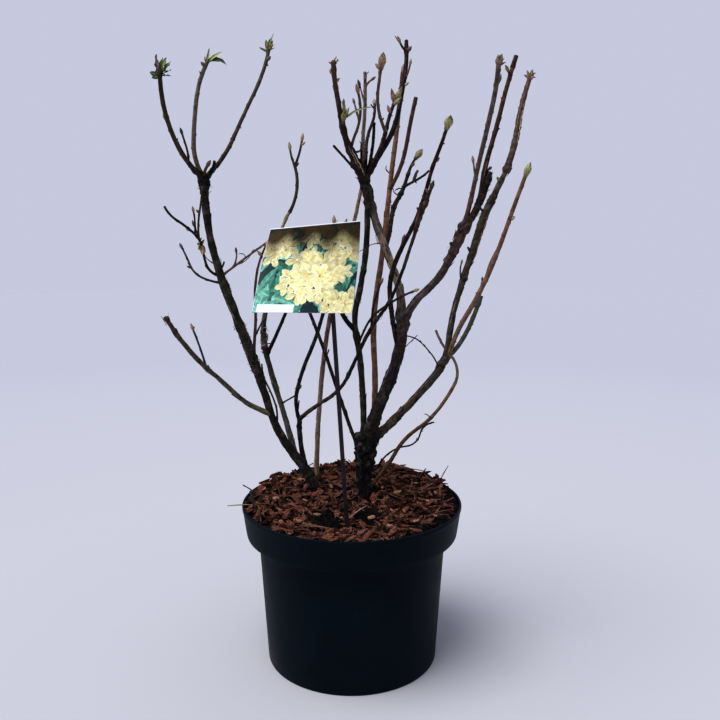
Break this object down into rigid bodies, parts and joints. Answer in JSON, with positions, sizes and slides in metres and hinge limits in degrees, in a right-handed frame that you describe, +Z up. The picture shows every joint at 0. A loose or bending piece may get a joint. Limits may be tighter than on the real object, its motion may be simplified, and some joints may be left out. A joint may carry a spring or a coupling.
{
  "type": "potted azalea shrub",
  "caption": "Deciduous azalea in early spring, bare stems with swelling buds, in a round black nursery pot with bark mulch and a picture card.",
  "frame": {"origin": "centre of the pot's flat underside", "axes": "+Z up, +X to the right and +Y to the back as the picture shows the plant"},
  "size_m": [0.4661, 0.294, 0.8026],
  "materials": {
    "pot_plastic": "matte black injection moulded",
    "potting_mix": "damp dark peat",
    "bark_mulch": "rough bark chips",
    "stake_plastic": "matte dark moulded strip",
    "printed_card": "satin printed plastic card",
    "old_bark": "rough peeling dark bark",
    "young_bark": "smooth reddish bark",
    "twigs": "smooth young bark with buds"
  },
  "bodies": {
    "root": {"pot": "pot_plastic", "potting_mix": "potting_mix", "bark_mulch": "bark_mulch", "label_stake": "stake_plastic", "picture_card": "printed_card", "left_stem": "old_bark", "trunk": "old_bark", "main_bough": "old_bark", "middle_bough": "old_bark", "right_bough": "old_bark", "low_right_bough": "old_bark", "centre_bough": "old_bark", "outer_bough": "old_bark", "inner_stem": "old_bark", "base_stem": "old_bark", "slender_bough": "old_bark", "left_low_bough": "old_bark", "left_back_stem": "young_bark", "back_stem": "young_bark", "arching_stem": "young_bark", "left_crown_twigs": "twigs", "left_upper_twigs": "twigs", "left_lower_twigs": "twigs", "left_inner_twigs": "twigs", "card_edge_twigs": "twigs", "inner_thread_twigs": "twigs", "low_left_twigs": "twigs", "inner_crown_twigs": "twigs", "card_side_twigs": "twigs", "base_left_twigs": "twigs", "slender_tip_twigs": "twigs", "slender_side_twigs": "twigs", "side_stem_twigs": "twigs", "crossing_twigs": "twigs", "knotty_twigs": "twigs", "bud_twigs": "twigs", "centre_fork_twigs": "twigs", "thread_twigs": "twigs", "outer_side_twigs": "twigs", "crown_twigs": "twigs", "right_crown_twigs": "twigs", "far_right_twigs": "twigs", "outer_crown_twigs": "twigs", "arching_twigs": "twigs", "low_back_twigs": "twigs", "back_crown_twigs": "twigs"}
  },
  "joints": []
}
